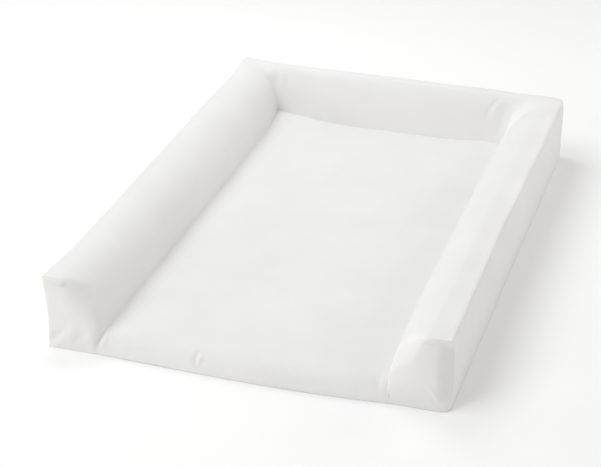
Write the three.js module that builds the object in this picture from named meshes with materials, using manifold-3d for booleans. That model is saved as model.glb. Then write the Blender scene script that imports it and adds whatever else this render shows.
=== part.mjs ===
// A changing pad: cut foam with three raised sides, in a sewn cover that opens with a zip at the head.
// Millimetres, +X to the right, +Y towards the head end, +Z up.
// The origin is the centre of the pad's footprint, on its underside.

import * as THREE from 'three';
import { mergeVertices } from 'three/addons/utils/BufferGeometryUtils.js';
import Module from 'manifold-3d';

// Driving dimensions of the pad.
const PAD_WIDTH = 480;
const PAD_LENGTH = 740;
const PAD_HEIGHT = 92;
const LYING_HEIGHT = 24;
const SIDE_BOLSTER = 66; // width of a side bolster at the lying surface
const HEAD_BOLSTER = 44; // the same for the head bolster
const BOLSTER_FLAT = 16; // flat top of a side bolster, before it rounds over to its inner face
const FRONT_ROUND = 20; // radius of the front edge
const FABRIC = 1.5; // cover with its lining
const GAP = 0.3; // between pieces that lie against each other

// Driving dimensions of the zip, which runs across the head wall.
const ZIP_HEIGHT = 26; // its centre line above the underside
const ZIP_OPENING = 10; // strip of zip left bare between the two wall panels
const ZIP_END_TAB = 22; // fabric over each end of the zip
const CHAIN_HALF = 214; // half the length of the teeth
const TAPE_WIDTH = 13;
const TAPE_THICK = 0.8;
const TAPE_HALF_SLIT = 0.8;
const ROW_INNER = 0.7; // the two rows stand this far from the centre line
const ROW_OUTER = 2.9;
const ROW_THICK = 2.2;
const STOP_LENGTH = 2.5;
const STOP_OUTER = 3.1;
const ZIP_ROOM = 4.5; // space behind the face of the head wall for tapes and slider

// Driving dimensions of the slider and its pull tab.
const SLIDER_LENGTH = 12;
const SLIDER_HALF_WIDTH = 4.2;
const PLATE_THICK = 1;
const FLANGE_THICK = 0.9;
const NECK_HALF_THICK = 0.35;
const NECK_LENGTH = 2.5;
const NECK_X = 3.2;
const BRIDGE_HALF_LENGTH = 3.8;
const BRIDGE_HALF_WIDTH = 0.9;
const BRIDGE_RISE = 2;
const BRIDGE_THICK = 0.9;
const TAB_LENGTH = 22;
const TAB_HALF_WIDTH = 3.5;
const TAB_THICK = 1.2;
const TAB_WINDOW_HALF = 1.3;
const TAB_HOLE = 1.6;

// Care label, sewn in at the upper tape.
const LABEL_WIDTH = 35;
const LABEL_HEIGHT = 45;
const LABEL_THICK = 0.6;
const LABEL_X = -60;

// Places worked out from the dimensions above.
const SIDE_X = PAD_WIDTH / 2;
const FRONT_Y = -PAD_LENGTH / 2;
const BACK_Y = PAD_LENGTH / 2;
const INSET = FABRIC + GAP; // a foam face behind its cover
const MITRE_GAP = 2 * GAP;
const HEAD_TO_SIDE = HEAD_BOLSTER / SIDE_BOLSTER; // the mitre's slope, in plan
const ROW_FACE_Y = BACK_Y - FABRIC + ROW_THICK;
const PLATE_OUT_Y = ROW_FACE_Y + GAP + PLATE_THICK;
const TAPE_Y = BACK_Y - INSET - TAPE_THICK / 2;
const PLATE_IN_Y = TAPE_Y - TAPE_THICK / 2 - GAP - PLATE_THICK;
const SLIDER_X = CHAIN_HALF - SLIDER_LENGTH / 2 - 2 * GAP; // closed
const PIN_Y = PLATE_OUT_Y + BRIDGE_RISE / 2;

const cover = fabric(0xf1f0ea);
const lining = fabric(0xe9e8e2);
const tapeCloth = fabric(0xe6e5df);
const labelCloth = fabric(0xf7f7f4);
const foam = new THREE.MeshStandardMaterial({ color: 0xe9e2c4, roughness: 0.95, metalness: 0 });
const teeth = new THREE.MeshStandardMaterial({ color: 0xe8e7e0, roughness: 0.4, metalness: 0 });
const metal = new THREE.MeshStandardMaterial({ color: 0xe4e4e0, roughness: 0.35, metalness: 0.1 });

const wasm = await Module();
wasm.setup();

const pad = new THREE.Group();

addFoam();
addBolsterCovers();
addLyingPanel();
addWalls();
addZip();
addSlider();
addPullTab();
addCareLabel();

// ---- Foam ----

function addFoam() {
  const side = bolsterSweep(foamOutline(INSET), FRONT_Y + INSET);
  addPair('foam_left_bolster', 'foam_right_bolster', side, foam);
  add('foam_head_bolster', headSweep(foamOutline(ZIP_ROOM / HEAD_TO_SIDE)), foam);

  const halfWidth = SIDE_X - SIDE_BOLSTER + INSET - GAP;
  const headEnd = BACK_Y - HEAD_TO_SIDE * (SIDE_BOLSTER - INSET) - GAP;
  const round = FRONT_ROUND - INSET;
  const slab = new THREE.Shape();
  slab.moveTo(headEnd, INSET);
  slab.lineTo(headEnd, LYING_HEIGHT - INSET);
  slab.absarc(FRONT_Y + FRONT_ROUND, LYING_HEIGHT - FRONT_ROUND, round, Math.PI / 2, Math.PI);
  slab.lineTo(FRONT_Y + INSET, INSET);
  add('foam_base_slab', crosswise(slab, halfWidth), foam);
}

// ---- Bolsters, drawn as (depth from the outer wall, height) ----

// The rounded inner shoulder of a side bolster, from its flat top down to a given height.
function shoulder(outline, inset, foot, upwards = false) {
  const across = SIDE_BOLSTER - BOLSTER_FLAT - inset;
  const rise = PAD_HEIGHT - LYING_HEIGHT - inset;
  const points = [];
  const steps = 12;
  for (let i = 0; i <= steps; i++) {
    const angle = (Math.PI / 2) * (1 - i / steps);
    const depth = BOLSTER_FLAT + across * Math.cos(angle);
    points.push([depth, LYING_HEIGHT + rise * Math.sin(angle)]);
  }
  points.push([BOLSTER_FLAT + across, foot]);
  if (upwards) points.reverse();
  points.forEach(([depth, height]) => outline.lineTo(depth, height));
}

function foamOutline(wallDepth) {
  const outline = new THREE.Shape();
  outline.moveTo(wallDepth, INSET);
  outline.lineTo(wallDepth, PAD_HEIGHT - INSET);
  shoulder(outline, INSET, INSET);
  return outline;
}

function skinOutline() {
  const outline = new THREE.Shape();
  const foot = LYING_HEIGHT - FABRIC;
  outline.moveTo(0, PAD_HEIGHT);
  shoulder(outline, 0, foot);
  shoulder(outline, FABRIC, foot, true);
  outline.lineTo(0, PAD_HEIGHT - FABRIC);
  return outline;
}

function capOutline() {
  const outline = new THREE.Shape();
  outline.moveTo(0, INSET);
  outline.lineTo(0, PAD_HEIGHT);
  shoulder(outline, 0, INSET);
  return outline;
}

// The right bolster: straight at the front, mitred where it meets the head bolster.
function bolsterSweep(outline, startY) {
  return sweep(
    outline,
    () => startY,
    (depth) => BACK_Y - HEAD_TO_SIDE * depth - MITRE_GAP,
    (depth, along, height) => new THREE.Vector3(SIDE_X - depth, along, height),
  );
}

// The head bolster: the side bolster's outline made narrower, mitred at both ends.
function headSweep(outline) {
  return sweep(
    outline,
    (depth) => depth - SIDE_X,
    (depth) => SIDE_X - depth,
    (depth, along, height) => new THREE.Vector3(-along, BACK_Y - HEAD_TO_SIDE * depth, height),
  );
}

function addBolsterCovers() {
  const side = bolsterSweep(skinOutline(), FRONT_Y + INSET);
  addPair('cover_left_bolster', 'cover_right_bolster', side, cover);
  add('cover_head_bolster', headSweep(skinOutline()), cover);

  const cap = sweep(
    capOutline(),
    () => FRONT_Y,
    () => FRONT_Y + FABRIC,
    (depth, along, height) => new THREE.Vector3(SIDE_X - depth, along, height),
  );
  addPair('cover_left_end_cap', 'cover_right_end_cap', cap, cover);
}

// ---- Flat panels ----

// One panel: it lies on the slab, rolls over the front edge and ends at the bottom seam.
function addLyingPanel() {
  const headEnd = BACK_Y - HEAD_BOLSTER - GAP;
  const centreY = FRONT_Y + FRONT_ROUND;
  const centreZ = LYING_HEIGHT - FRONT_ROUND;
  const panel = new THREE.Shape();
  panel.moveTo(headEnd, LYING_HEIGHT - FABRIC);
  panel.lineTo(headEnd, LYING_HEIGHT);
  panel.absarc(centreY, centreZ, FRONT_ROUND, Math.PI / 2, Math.PI);
  panel.lineTo(FRONT_Y, INSET);
  panel.lineTo(FRONT_Y + FABRIC, INSET);
  panel.absarc(centreY, centreZ, FRONT_ROUND - FABRIC, Math.PI, Math.PI / 2, true);
  add('cover_lying_panel', crosswise(panel, SIDE_X - SIDE_BOLSTER - GAP), cover);
}

function addWalls() {
  const top = PAD_HEIGHT - INSET;
  const wall = block([SIDE_X - FABRIC, SIDE_X], [FRONT_Y + INSET, BACK_Y - INSET], [INSET, top]);
  addPair('cover_left_wall', 'cover_right_wall', wall, cover);

  const across = [-SIDE_X, SIDE_X];
  const thick = [BACK_Y - FABRIC, BACK_Y];
  const zipTop = ZIP_HEIGHT + ZIP_OPENING / 2;
  const zipFoot = ZIP_HEIGHT - ZIP_OPENING / 2;
  add('cover_head_wall_upper', block(across, thick, [zipTop, top]), cover);
  add('cover_head_wall_lower', block(across, thick, [INSET, zipFoot]), cover);
  add('cover_bottom_panel', block(across, [FRONT_Y, BACK_Y], [0, FABRIC]), lining);

  const tab = block([SIDE_X - ZIP_END_TAB, SIDE_X], thick, [zipFoot + GAP, zipTop - GAP]);
  addPair('zip_end_tab_left', 'zip_end_tab_right', tab, cover);
}

// ---- Zip ----

function addZip() {
  const tapeEnd = CHAIN_HALF + ZIP_END_TAB / 2;
  const tapeY = [TAPE_Y - TAPE_THICK / 2, TAPE_Y + TAPE_THICK / 2];
  const rowY = [ROW_FACE_Y - ROW_THICK, ROW_FACE_Y];
  const stopY = [rowY[0], ROW_FACE_Y + GAP];
  const stopX = [CHAIN_HALF + GAP, CHAIN_HALF + GAP + STOP_LENGTH];
  for (const [side, name] of [[1, 'upper'], [-1, 'lower']]) {
    const heights = (near, far) => [ZIP_HEIGHT + side * near, ZIP_HEIGHT + side * far].sort((a, b) => a - b);
    add(`zip_tape_${name}`, block([-tapeEnd, tapeEnd], tapeY, heights(TAPE_HALF_SLIT, TAPE_WIDTH)), tapeCloth);
    add(`zip_teeth_${name}`, block([-CHAIN_HALF, CHAIN_HALF], rowY, heights(ROW_INNER, ROW_OUTER)), teeth);
    add(`zip_top_stop_${name}`, block(stopX, stopY, heights(ROW_INNER, STOP_OUTER)), metal);
  }
  const bothRows = [ZIP_HEIGHT - STOP_OUTER, ZIP_HEIGHT + STOP_OUTER];
  add('zip_bottom_stop', block([-stopX[1], -stopX[0]], stopY, bothRows), metal);
}

// Two plates joined by the neck that parts the rows, with flanges round the rows and a bridge for the tab.
function addSlider() {
  const half = SLIDER_LENGTH / 2;
  const join = GAP / 2; // pieces of the casting run into each other by this much
  const z = (from, to) => [ZIP_HEIGHT + from, ZIP_HEIGHT + to];
  const x = (from, to) => [SLIDER_X + from, SLIDER_X + to];
  const bridgeTop = PLATE_OUT_Y + BRIDGE_RISE + BRIDGE_THICK;
  const flangeFoot = TAPE_Y + TAPE_THICK / 2 + 1.5 * GAP;
  const inner = SLIDER_HALF_WIDTH - FLANGE_THICK;
  const footEnd = BRIDGE_HALF_LENGTH - 1;
  const pieces = [
    sliderPlate(PLATE_OUT_Y - PLATE_THICK),
    sliderPlate(PLATE_IN_Y),
    block(
      x(NECK_X - NECK_LENGTH / 2, NECK_X + NECK_LENGTH / 2),
      [PLATE_IN_Y + join, PLATE_OUT_Y - join],
      z(-NECK_HALF_THICK, NECK_HALF_THICK),
    ),
    block(x(-half, half), [flangeFoot, PLATE_OUT_Y - join], z(inner, SLIDER_HALF_WIDTH)),
    block(x(-half, half), [flangeFoot, PLATE_OUT_Y - join], z(-SLIDER_HALF_WIDTH, -inner)),
    block(
      x(-BRIDGE_HALF_LENGTH, BRIDGE_HALF_LENGTH),
      [bridgeTop - BRIDGE_THICK, bridgeTop],
      z(-BRIDGE_HALF_WIDTH, BRIDGE_HALF_WIDTH),
    ),
  ];
  for (const end of [[-BRIDGE_HALF_LENGTH, -footEnd], [footEnd, BRIDGE_HALF_LENGTH]]) {
    const rise = [PLATE_OUT_Y - join, bridgeTop - join];
    pieces.push(block(x(...end), rise, z(-BRIDGE_HALF_WIDTH, BRIDGE_HALF_WIDTH)));
  }
  add('zip_slider', joined(pieces), metal);
}

// A plate of the slider, with rounded shoulders at the end where the rows part.
function sliderPlate(fromY) {
  const half = SLIDER_LENGTH / 2;
  const corner = 2.5;
  const outline = new THREE.Shape();
  outline.moveTo(-half, -SLIDER_HALF_WIDTH);
  outline.lineTo(-half, SLIDER_HALF_WIDTH);
  outline.absarc(half - corner, SLIDER_HALF_WIDTH - corner, corner, Math.PI / 2, 0, true);
  outline.absarc(half - corner, corner - SLIDER_HALF_WIDTH, corner, 0, -Math.PI / 2, true);
  return standing(outline, SLIDER_X, fromY, PLATE_THICK);
}

// The tab lies back over the closed teeth and turns about its crossbar under the slider's bridge.
function addPullTab() {
  const barHalf = TAB_THICK / 2;
  const round = TAB_HALF_WIDTH;
  const windowEnd = BRIDGE_HALF_LENGTH + 1;
  const outline = new THREE.Shape();
  outline.moveTo(barHalf, -TAB_HALF_WIDTH);
  outline.lineTo(barHalf, TAB_HALF_WIDTH);
  outline.absarc(round - TAB_LENGTH, 0, round, Math.PI / 2, 1.5 * Math.PI);
  const opening = new THREE.Path();
  opening.moveTo(-barHalf, -TAB_WINDOW_HALF);
  opening.lineTo(-windowEnd, -TAB_WINDOW_HALF);
  opening.lineTo(-windowEnd, TAB_WINDOW_HALF);
  opening.lineTo(-barHalf, TAB_WINDOW_HALF);
  const hole = new THREE.Path();
  hole.absarc(round - TAB_LENGTH, 0, TAB_HOLE, 0, 2 * Math.PI);
  outline.holes.push(opening, hole);
  add('zip_pull_tab', standing(outline, SLIDER_X, PIN_Y - TAB_THICK / 2, TAB_THICK), metal);
}

function addCareLabel() {
  const foot = ZIP_HEIGHT + TAPE_WIDTH + GAP;
  const label = block(
    [LABEL_X, LABEL_X + LABEL_WIDTH],
    [TAPE_Y - LABEL_THICK, TAPE_Y],
    [foot, foot + LABEL_HEIGHT],
  );
  add('care_label', label, labelCloth);
}

// ---- Making solids ----

function block([x0, x1], [y0, y1], [z0, z1]) {
  const box = new THREE.BoxGeometry(x1 - x0, y1 - y0, z1 - z0);
  return box.translate((x0 + x1) / 2, (y0 + y1) / 2, (z0 + z1) / 2);
}

// Sweeps an outline between two ends, each placed by a function of the outline's depth, so it may slant.
function sweep(outline, startAt, endAt, place) {
  const geometry = new THREE.ExtrudeGeometry(outline, { depth: 1, bevelEnabled: false });
  const position = geometry.getAttribute('position');
  for (let i = 0; i < position.count; i++) {
    const depth = position.getX(i);
    const along = THREE.MathUtils.lerp(startAt(depth), endAt(depth), position.getZ(i));
    const point = place(depth, along, position.getY(i));
    position.setXYZ(i, point.x, point.y, point.z);
  }
  geometry.computeVertexNormals();
  return geometry;
}

// Extrudes an outline drawn as (y, z) across the pad, as far to the left as to the right.
function crosswise(outline, halfWidth) {
  return sweep(
    outline,
    () => -halfWidth,
    () => halfWidth,
    (y, along, z) => new THREE.Vector3(along, y, z),
  );
}

// Extrudes an outline drawn as (x from the slider's middle, z from the zip's centre line) towards the head.
function standing(outline, middleX, fromY, thick) {
  const geometry = new THREE.ExtrudeGeometry(outline, { depth: thick, bevelEnabled: false, curveSegments: 8 });
  return geometry.rotateX(Math.PI / 2).translate(middleX, fromY + thick, ZIP_HEIGHT);
}

function joined(geometries) {
  const whole = geometries.map(solid).reduce((sum, next) => sum.add(next));
  const { vertProperties, triVerts } = whole.getMesh();
  const geometry = new THREE.BufferGeometry();
  geometry.setAttribute('position', new THREE.BufferAttribute(vertProperties, 3));
  geometry.setIndex(new THREE.BufferAttribute(triVerts, 1));
  geometry.computeVertexNormals();
  return geometry;
}

function solid(geometry) {
  geometry.deleteAttribute('normal');
  geometry.deleteAttribute('uv');
  const merged = mergeVertices(geometry, 1e-3);
  const mesh = new wasm.Mesh({
    numProp: 3,
    vertProperties: merged.getAttribute('position').array,
    triVerts: new Uint32Array(merged.index.array),
  });
  return new wasm.Manifold(mesh);
}

// ---- Materials and placing ----

function fabric(color) {
  return new THREE.MeshStandardMaterial({ color, roughness: 0.9, metalness: 0 });
}

function add(name, geometry, material) {
  const mesh = new THREE.Mesh(geometry, material);
  mesh.name = name;
  pad.add(mesh);
  return mesh;
}

// A piece on the right of the pad, and its mirror image on the left.
function addPair(leftName, rightName, geometry, material) {
  add(rightName, geometry, material);
  add(leftName, geometry, material).scale.x = -1;
}

export default pad;
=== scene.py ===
"""The changing pad's looks: a sewn cover over foam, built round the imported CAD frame.

The cover is first made as one welded surface, panel by panel. Cloth simulation gives it its crown, then
slack, folds and seams are pressed into it, and last it is cut along its seams into the panels of the real
cover. Lengths in the tables below are millimetres; everything else is metres.
"""

import math
from functools import cache

import bpy
import numpy as np
from mathutils import Matrix, Vector, kdtree
from mathutils.bvhtree import BVHTree


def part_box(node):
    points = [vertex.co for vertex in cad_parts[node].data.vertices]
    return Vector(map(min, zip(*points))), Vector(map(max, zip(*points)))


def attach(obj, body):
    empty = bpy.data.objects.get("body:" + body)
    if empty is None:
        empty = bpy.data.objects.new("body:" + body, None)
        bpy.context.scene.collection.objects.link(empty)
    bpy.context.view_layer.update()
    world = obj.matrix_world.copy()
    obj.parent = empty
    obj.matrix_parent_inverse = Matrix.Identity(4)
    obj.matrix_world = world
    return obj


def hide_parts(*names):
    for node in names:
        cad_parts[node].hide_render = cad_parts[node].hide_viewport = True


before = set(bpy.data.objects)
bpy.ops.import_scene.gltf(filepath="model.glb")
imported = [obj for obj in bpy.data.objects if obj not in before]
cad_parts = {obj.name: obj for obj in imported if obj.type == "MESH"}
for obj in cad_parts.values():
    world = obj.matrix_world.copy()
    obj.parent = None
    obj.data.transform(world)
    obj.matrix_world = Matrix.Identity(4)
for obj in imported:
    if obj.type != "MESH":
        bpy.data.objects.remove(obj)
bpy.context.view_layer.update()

MM = 0.001

# ---- Sizes, from the CAD frame ----


def low(node):
    return np.array(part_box(node)[0])


def high(node):
    return np.array(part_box(node)[1])


HALF_WIDTH = high("cover_bottom_panel")[0]
FRONT = low("cover_bottom_panel")[1]
BACK = high("cover_bottom_panel")[1]
HEIGHT = high("cover_left_bolster")[2]
LYING = high("cover_lying_panel")[2]
SLOT_FOOT = high("cover_head_wall_lower")[2]
SLOT_TOP = low("cover_head_wall_upper")[2]
ZIP_END = low("zip_end_tab_right")[0]
ROLL = 20 * MM  # radius of the front edge

# ---- How finely the cover is drawn ----

FLAT_STEPS = 4
SHOULDER_STEPS = 26
CAP_STEPS = 13
WALL_STEPS = (4, 2, 12)  # below the zip, beside it, above it
TAB_STEPS = 4
ZIP_STEPS = 72
LONG_STEPS = 143
BOTTOM_FACE = -0.15 * MM  # the bottom panel covers the raw ends of the walls
FRONT_ROWS = np.array([0, 2, 5.5, 10, 15]) * MM  # closer rows over the rolled front edge

# A bolster's section: depths of its four control points behind the outer wall, and the height of the third.
BELLY_HEIGHT = 64 * MM
LEFT_SECTION = np.array([14, 42, 62, 64.5]) * MM
RIGHT_SECTION = np.array([27, 41, 89, 70]) * MM
HEAD_SECTION = np.array([15.5, 22, 30, 42]) * MM

PANELS = (
    "cover_lying_panel",
    "cover_left_bolster",
    "cover_right_bolster",
    "cover_head_bolster",
    "cover_left_wall",
    "cover_right_wall",
    "cover_head_wall_upper",
    "cover_head_wall_lower",
    "cover_left_end_cap",
    "cover_right_end_cap",
    "zip_end_tab_left",
    "zip_end_tab_right",
    "cover_bottom_panel",
)

# ---- The cover as one surface ----


def bezier(controls, t):
    a, b, c, d = controls
    return a * (1 - t) ** 3 + 3 * b * t * (1 - t) ** 2 + 3 * c * t**2 * (1 - t) + d * t**3


def section_depth(section):
    """Depth behind the outer wall of each point of a bolster's section, from its outer edge to the crease."""
    t = np.linspace(0, 1, SHOULDER_STEPS + 1)
    flat = np.linspace(0, section[0], FLAT_STEPS + 1)
    return np.concatenate([flat[:-1], bezier(section, t)])


def section_height(foot):
    """Height of the same points, where the crease is at height foot."""
    t = np.linspace(0, 1, SHOULDER_STEPS + 1)
    flat = np.full(FLAT_STEPS, HEIGHT)
    return np.concatenate([flat, bezier((HEIGHT, HEIGHT, BELLY_HEIGHT, foot), t)])


def roll_height(y):
    """Height of the lying surface, which rolls over at the front."""
    over = np.clip(FRONT + ROLL - y, 0, ROLL)
    return LYING - ROLL + np.sqrt(ROLL**2 - over**2)


CREASE_END = BACK - HEAD_SECTION[3]
LENGTHWISE = np.concatenate([
    FRONT_ROWS,
    np.linspace(ROLL, CREASE_END - FRONT, LONG_STEPS + 1),
]) / (CREASE_END - FRONT)
TAB_SHARE = (HALF_WIDTH - ZIP_END) / (2 * HALF_WIDTH)
ACROSS = np.concatenate([
    np.linspace(0, TAB_SHARE, TAB_STEPS + 1)[:-1],
    np.linspace(TAB_SHARE, 1 - TAB_SHARE, ZIP_STEPS + 1),
    np.linspace(1 - TAB_SHARE, 1, TAB_STEPS + 1)[1:],
])
WALL_HEIGHTS = np.concatenate([
    np.linspace(0, SLOT_FOOT, WALL_STEPS[0] + 1),
    np.linspace(SLOT_FOOT, SLOT_TOP, WALL_STEPS[1] + 1)[1:],
    np.linspace(SLOT_TOP, HEIGHT, WALL_STEPS[2] + 1)[1:],
])


def grid(x, y, z):
    return np.stack(np.broadcast_arrays(x, y, z), axis=-1).astype(float)


def bolster_grid(side, section):
    """Top and inner face of a side bolster: along its section, then from the front to the mitre."""
    depth = section_depth(section)[:, None]
    end = BACK - section_depth(HEAD_SECTION)[:, None]
    y = FRONT + (end - FRONT) * LENGTHWISE[None, :]
    crease_y = FRONT + (CREASE_END - FRONT) * LENGTHWISE
    height = np.stack([section_height(foot) for foot in roll_height(crease_y)], axis=1)
    return grid(side * (HALF_WIDTH - depth), y, height)


def head_grid():
    left = section_depth(LEFT_SECTION)[:, None] - HALF_WIDTH
    right = HALF_WIDTH - section_depth(RIGHT_SECTION)[:, None]
    x = left + (right - left) * ACROSS[None, :]
    return grid(x, BACK - section_depth(HEAD_SECTION)[:, None], section_height(LYING)[:, None])


def lying_grid():
    """From the bottom seam over the rolled front edge to the head crease."""
    left = LEFT_SECTION[3] - HALF_WIDTH
    right = HALF_WIDTH - RIGHT_SECTION[3]
    x = left + (right - left) * ACROSS[None, :]
    y = FRONT + (CREASE_END - FRONT) * np.concatenate([[0], LENGTHWISE])
    z = roll_height(y)
    z[0] = 0
    return grid(x, y[:, None], z[:, None])


def side_wall_grid(side):
    y = FRONT + (BACK - FRONT) * LENGTHWISE
    return grid(side * HALF_WIDTH, y[None, :], WALL_HEIGHTS[:, None])


def head_wall_grid(rows, columns):
    x = HALF_WIDTH * (2 * ACROSS[columns] - 1)
    return grid(x[None, :], BACK, WALL_HEIGHTS[rows][:, None])


def cap_grid(side, section):
    """Front end of a side bolster: a patch spun between its four edges."""
    depth, height = section_depth(section), section_height(LYING - ROLL)
    outline = np.stack([depth, height], axis=1)
    top = outline[: CAP_STEPS + 1]
    foot = np.array([[section[3], 0]])
    inner = np.concatenate([foot, outline[CAP_STEPS:][::-1]])
    outer = np.stack([np.zeros_like(WALL_HEIGHTS), WALL_HEIGHTS], axis=1)
    bottom = np.stack([np.linspace(0, section[3], CAP_STEPS + 1), np.zeros(CAP_STEPS + 1)], axis=1)
    s = np.linspace(0, 1, len(bottom))[None, :, None]
    t = np.linspace(0, 1, len(outer))[:, None, None]
    ruled = (1 - t) * bottom[None] + t * top[None] + (1 - s) * outer[:, None] + s * inner[:, None]
    corners = (1 - t) * ((1 - s) * bottom[0] + s * bottom[-1]) + t * ((1 - s) * top[0] + s * top[-1])
    flat = ruled - corners
    return grid(side * (HALF_WIDTH - flat[..., 0]), FRONT, flat[..., 1])


def lengths(points, axis):
    """Distance along the grid lines of an axis, for a map that fits the cloth's own threads."""
    steps = np.linalg.norm(np.diff(points, axis=axis), axis=-1)
    start = np.zeros_like(np.take(steps, [0], axis=axis))
    return np.concatenate([start, np.cumsum(steps, axis=axis)], axis=axis)


def quads_of(rows, columns, first):
    i, j = np.meshgrid(np.arange(rows - 1), np.arange(columns - 1), indexing="ij")
    corner = first + i * columns + j
    return np.stack([corner, corner + 1, corner + columns + 1, corner + columns], axis=-1).reshape(-1, 4)


def face_normal(points, quads):
    a, b, c, d = (points[quads[:, k]] for k in range(4))
    return np.cross(c - a, d - b)


class Cover:
    """The welded cover: points, quads, the panel of each quad, and each quad's corners on the cloth."""

    def __init__(self):
        self.points, self.quads, self.panel, self.cloth = [], [], [], []
        self.flat = {}

    def add(self, panel, points, outward):
        rows, columns = points.shape[:2]
        flat = points.reshape(-1, 3)
        quads = quads_of(rows, columns, 0)
        if (face_normal(flat, quads) @ np.array(outward, float)).sum() < 0:
            quads = quads[:, ::-1]
        cloth = np.stack([lengths(points, 1), lengths(points, 0)], axis=-1).reshape(-1, 2)
        area = np.linalg.norm(face_normal(flat, quads), axis=1).sum() / 2
        self.flat[panel] = (*cloth.max(axis=0), area)
        first = sum(len(p) for p in self.points)
        self.points.append(flat)
        self.quads.append(quads + first)
        self.panel.append(np.full(len(quads), PANELS.index(panel)))
        self.cloth.append(cloth[quads])

    def weld(self):
        points = np.concatenate(self.points)
        keys = np.round(points / (0.02 * MM)).astype(np.int64)
        _, first, place = np.unique(keys, axis=0, return_index=True, return_inverse=True)
        self.points = points[first]
        self.quads = place.reshape(-1)[np.concatenate(self.quads)]
        self.panel = np.concatenate(self.panel)
        self.cloth = np.concatenate(self.cloth)

    def on_panel(self, panel):
        """The points of one panel, its seams included."""
        return np.unique(self.quads[self.panel == PANELS.index(panel)])


def whole_cover():
    cover = Cover()
    up, out = (0, 0, 1), (0, 1, 0)
    cover.add("cover_lying_panel", lying_grid(), up)
    for side, name, section in ((-1, "left", LEFT_SECTION), (1, "right", RIGHT_SECTION)):
        cover.add(f"cover_{name}_bolster", bolster_grid(side, section), up)
        cover.add(f"cover_{name}_wall", side_wall_grid(side), (side, 0, 0))
        cover.add(f"cover_{name}_end_cap", cap_grid(side, section), (0, -1, 0))
    cover.add("cover_head_bolster", head_grid(), up)
    below = slice(0, WALL_STEPS[0] + 1)
    beside = slice(WALL_STEPS[0], WALL_STEPS[0] + WALL_STEPS[1] + 1)
    above = slice(WALL_STEPS[0] + WALL_STEPS[1], None)
    cover.add("cover_head_wall_lower", head_wall_grid(below, slice(None)), out)
    cover.add("cover_head_wall_upper", head_wall_grid(above, slice(None)), out)
    cover.add("zip_end_tab_left", head_wall_grid(beside, slice(0, TAB_STEPS + 1)), out)
    cover.add("zip_end_tab_right", head_wall_grid(beside, slice(-TAB_STEPS - 1, None)), out)
    cover.weld()
    return cover


def bottom_cover():
    across, along = (np.linspace(-size, size, steps + 1) for size, steps in ((HALF_WIDTH, 60), (BACK, 92)))
    cover = Cover()
    cover.add("cover_bottom_panel", grid(across[None, :], along[:, None], BOTTOM_FACE), (0, 0, -1))
    cover.weld()
    return cover


# ---- Working on the surface ----


def edges_of(quads):
    pairs = np.concatenate([quads[:, [k, (k + 1) % 4]] for k in range(4)])
    return np.unique(np.sort(pairs, axis=1), axis=0)


def vertex_normals(points, quads):
    normals = np.zeros_like(points)
    faces = face_normal(points, quads)
    for k in range(4):
        np.add.at(normals, quads[:, k], faces)
    return normals / np.maximum(np.linalg.norm(normals, axis=1, keepdims=True), 1e-12)


def relaxed(points, edges, weight, rounds):
    """Points drawn towards the mean of their neighbours, by their weight, a number of times over."""
    count = np.bincount(edges.ravel(), minlength=len(points))[:, None]
    for _ in range(rounds):
        total = np.zeros_like(points)
        np.add.at(total, edges[:, 0], points[edges[:, 1]])
        np.add.at(total, edges[:, 1], points[edges[:, 0]])
        points = points + 0.5 * weight[:, None] * (total / count - points)
    return points


def seam_points(cover):
    """Which points two or more panels share, or lie on an open edge."""
    most = np.full(len(cover.points), -1)
    least = np.full(len(cover.points), len(PANELS))
    for k in range(4):
        np.maximum.at(most, cover.quads[:, k], cover.panel)
        np.minimum.at(least, cover.quads[:, k], cover.panel)
    return most != least


def smoothstep(value, start, end):
    t = np.clip((value - start) / (end - start), 0, 1)
    return t * t * (3 - 2 * t)


def waves(points, length, seed):
    """Smooth noise from -1 to 1 over the points, with features about length across."""
    rng = np.random.default_rng(seed)
    total = np.zeros(len(points))
    for _ in range(8):
        direction = rng.normal(size=3)
        direction /= np.linalg.norm(direction)
        pace = 2 * math.pi / (length * rng.uniform(0.7, 1.6))
        total += np.sin(points @ direction * pace + rng.uniform(0, 2 * math.pi))
    return total / 4


# Radii over the front end of a bolster: at its flat top, round its inner face and at its foot.
ROUND_TOP = 5 * MM
ROUND_INNER_LEFT = 29 * MM
ROUND_INNER_RIGHT = 22 * MM
ROUND_FOOT_LEFT = 11 * MM
ROUND_FOOT_RIGHT = 2 * MM


def corner_radius(share, inner, foot):
    """Radius over the front end, by the place on the shoulder: 0 by the flat top, 1 by the crease."""
    grown = ROUND_TOP + (inner - ROUND_TOP) * smoothstep(share, 0.0, 0.5)
    return grown + (foot - grown) * smoothstep(share, 0.55, 0.85)


def shoulder_outline(section, foot, steps):
    """A bolster's shoulder in (depth, height), and the way into the foam at each of its points."""
    t = np.linspace(0, 1, steps + 1)
    points = np.stack([bezier(section, t), bezier((HEIGHT, HEIGHT, BELLY_HEIGHT, foot), t)], axis=1)
    slope = np.gradient(points, axis=0)
    inward = np.stack([slope[:, 1], -slope[:, 0]], axis=1)
    return points, inward / np.linalg.norm(inward, axis=1, keepdims=True)


class Outline:
    """A shoulder at the front end, with the radius that it is rounded by at each of its points."""

    STEPS = 160

    def __init__(self, section, inner_radius, foot_radius):
        self.points, self.inward = shoulder_outline(section, LYING - ROLL, self.STEPS)
        self.radius = corner_radius(np.linspace(0, 1, self.STEPS + 1), inner_radius, foot_radius)

    def nearest(self, places):
        gaps = np.linalg.norm(places[:, None] - self.points[None], axis=2)
        index = gaps.argmin(axis=1)
        return index, gaps[np.arange(len(places)), index]


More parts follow.
